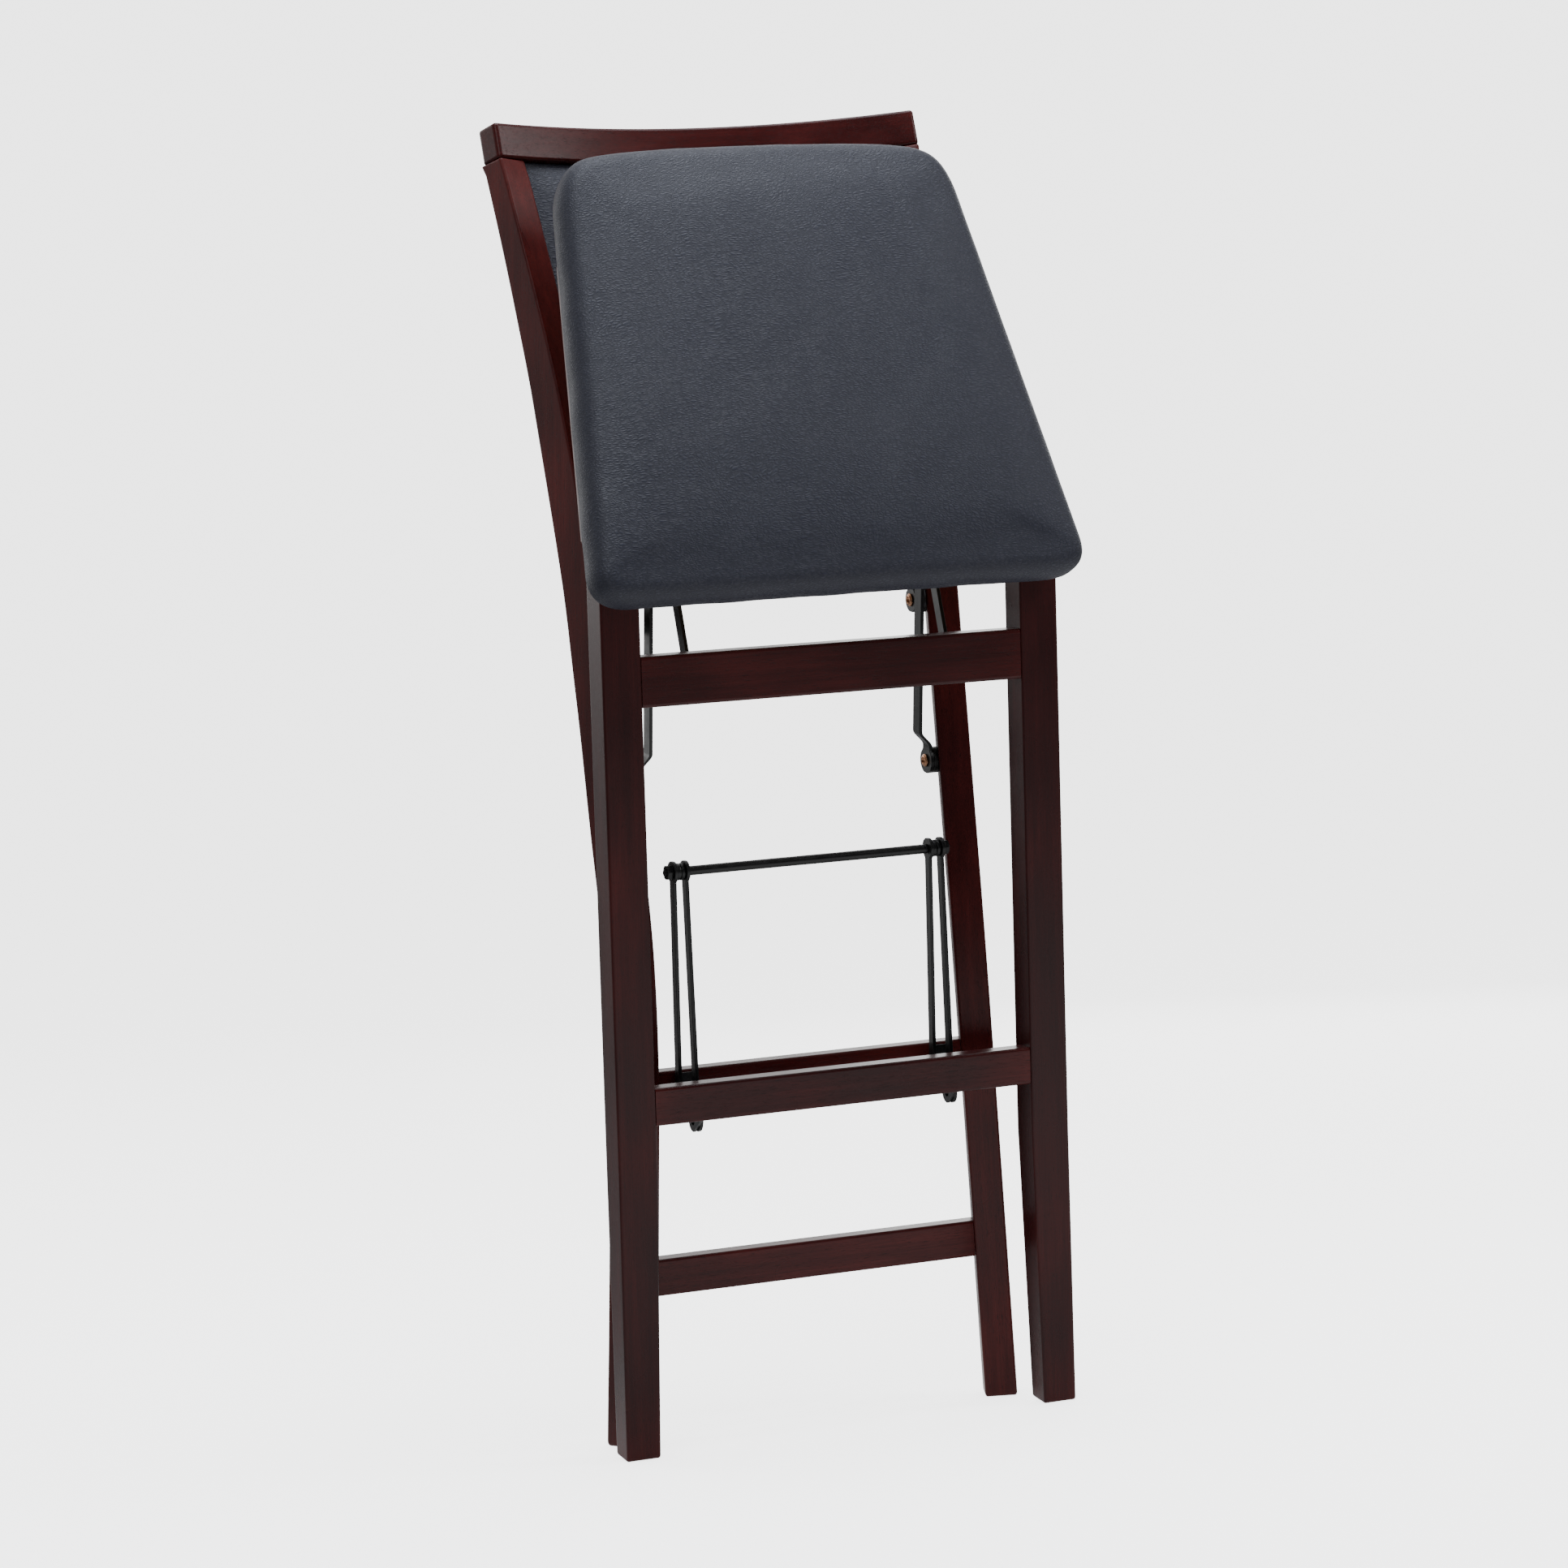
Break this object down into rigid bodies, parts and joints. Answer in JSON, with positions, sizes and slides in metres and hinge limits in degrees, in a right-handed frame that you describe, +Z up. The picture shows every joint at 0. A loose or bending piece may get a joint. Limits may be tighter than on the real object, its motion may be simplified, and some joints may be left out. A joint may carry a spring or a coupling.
{
  "type": "folding bar stool",
  "caption": "Folding bar stool with a padded seat and back, shown folded, on a linked wooden frame with steel straps and a folding brace.",
  "frame": {"origin": "on the floor, under the middle of the folded stool", "axes": "+Z up, +X across the stool, the folded seat's top faces -Y"},
  "size_m": [0.4296, 0.286, 1.0834],
  "materials": {
    "dark_wood": "semi-gloss",
    "plywood": "raw",
    "vinyl": "grained",
    "black_steel": "powder coat",
    "copper_rivet": "antique"
  },
  "bodies": {
    "rear_frame": {"rear_leg_left": "dark_wood", "rear_leg_right": "dark_wood", "crest_rail": "dark_wood", "back_cushion": "vinyl", "back_board": "plywood", "back_cover": "vinyl", "rear_low_stretcher": "dark_wood", "rear_mid_stretcher": "dark_wood", "stretcher_bracket_left": "black_steel", "stretcher_bracket_right": "black_steel", "strap_spacer_left": "black_steel", "strap_spacer_right": "black_steel", "link_spacer_left": "black_steel", "link_spacer_right": "black_steel", "strap_rivet_left": "copper_rivet", "strap_rivet_right": "copper_rivet", "link_rivet_left": "copper_rivet", "link_rivet_right": "copper_rivet"},
    "straps": {"strap_left": "black_steel", "strap_right": "black_steel", "seat_rivet_left": "copper_rivet", "seat_rivet_right": "copper_rivet"},
    "seat": {"seat_board": "plywood", "seat_cushion": "vinyl", "seat_rail_left": "dark_wood", "seat_rail_right": "dark_wood", "seat_bracket_left": "black_steel", "seat_bracket_right": "black_steel", "seat_hinge_left": "black_steel", "seat_hinge_right": "black_steel"},
    "front_frame": {"front_leg_left": "dark_wood", "front_leg_right": "dark_wood", "front_apron": "dark_wood", "front_footrest": "dark_wood", "leg_bolt_left": "black_steel", "leg_bolt_right": "black_steel", "apron_bracket_left": "black_steel", "apron_bracket_right": "black_steel", "foot_bracket_left": "black_steel", "foot_bracket_right": "black_steel"},
    "links": {"link_left": "black_steel", "link_right": "black_steel", "link_top_rivet_left": "copper_rivet", "link_top_rivet_right": "copper_rivet"},
    "control_bars": {"control_bar_left": "black_steel", "control_bar_right": "black_steel", "control_rivet_left": "copper_rivet", "control_rivet_right": "copper_rivet"},
    "brace_rear": {"brace_rear_left": "black_steel", "brace_rear_right": "black_steel", "knuckle_rod": "black_steel", "knuckle_nut_left": "black_steel", "knuckle_nut_right": "black_steel", "knuckle_washer_left": "black_steel", "knuckle_washer_right": "black_steel"},
    "brace_front": {"brace_front_left": "black_steel", "brace_front_right": "black_steel"}
  },
  "joints": [
    {"name": "fold", "type": "hinge", "parent": "rear_frame", "child": "straps", "pos_m": [0, 0.02064, 0.53839], "axis": [1, 0, 0], "range_deg": [0, 45.43]},
    {"name": "seat_turn", "type": "hinge", "parent": "straps", "child": "seat", "pos_m": [0, -0.03143, 0.82683], "axis": [1, 0, 0], "range_deg": [-113.95, 0]},
    {"name": "front_leg_turn", "type": "hinge", "parent": "seat", "child": "front_frame", "pos_m": [0, -0.08941, 0.7235], "axis": [1, 0, 0], "range_deg": [0, 56.52]},
    {"name": "link_turn", "type": "hinge", "parent": "rear_frame", "child": "links", "pos_m": [0, 0.02499, 0.67228], "axis": [1, 0, 0], "range_deg": [0, 68.93]},
    {"name": "control_bar_turn", "type": "hinge", "parent": "front_frame", "child": "control_bars", "pos_m": [0, -0.06434, 0.62632], "axis": [1, 0, 0], "range_deg": [-41.97, 0]},
    {"name": "rear_brace_turn", "type": "hinge", "parent": "rear_frame", "child": "brace_rear", "pos_m": [0, -0.00712, 0.282], "axis": [1, 0, 0], "range_deg": [0, 63.95]},
    {"name": "front_brace_turn", "type": "hinge", "parent": "brace_rear", "child": "brace_front", "pos_m": [0, -0.02541, 0.46811], "axis": [1, 0, 0], "range_deg": [-129.47, 0]}
  ],
  "couplings": [
    {"joint": "seat_turn", "follows": "fold", "ratio": -2.5078},
    {"joint": "front_leg_turn", "follows": "fold", "ratio": 1.2436},
    {"joint": "link_turn", "follows": "fold", "ratio": 1.5168},
    {"joint": "control_bar_turn", "follows": "fold", "ratio": -0.92334},
    {"joint": "rear_brace_turn", "follows": "fold", "ratio": 1.4071},
    {"joint": "front_brace_turn", "follows": "fold", "ratio": -2.8495}
  ]
}
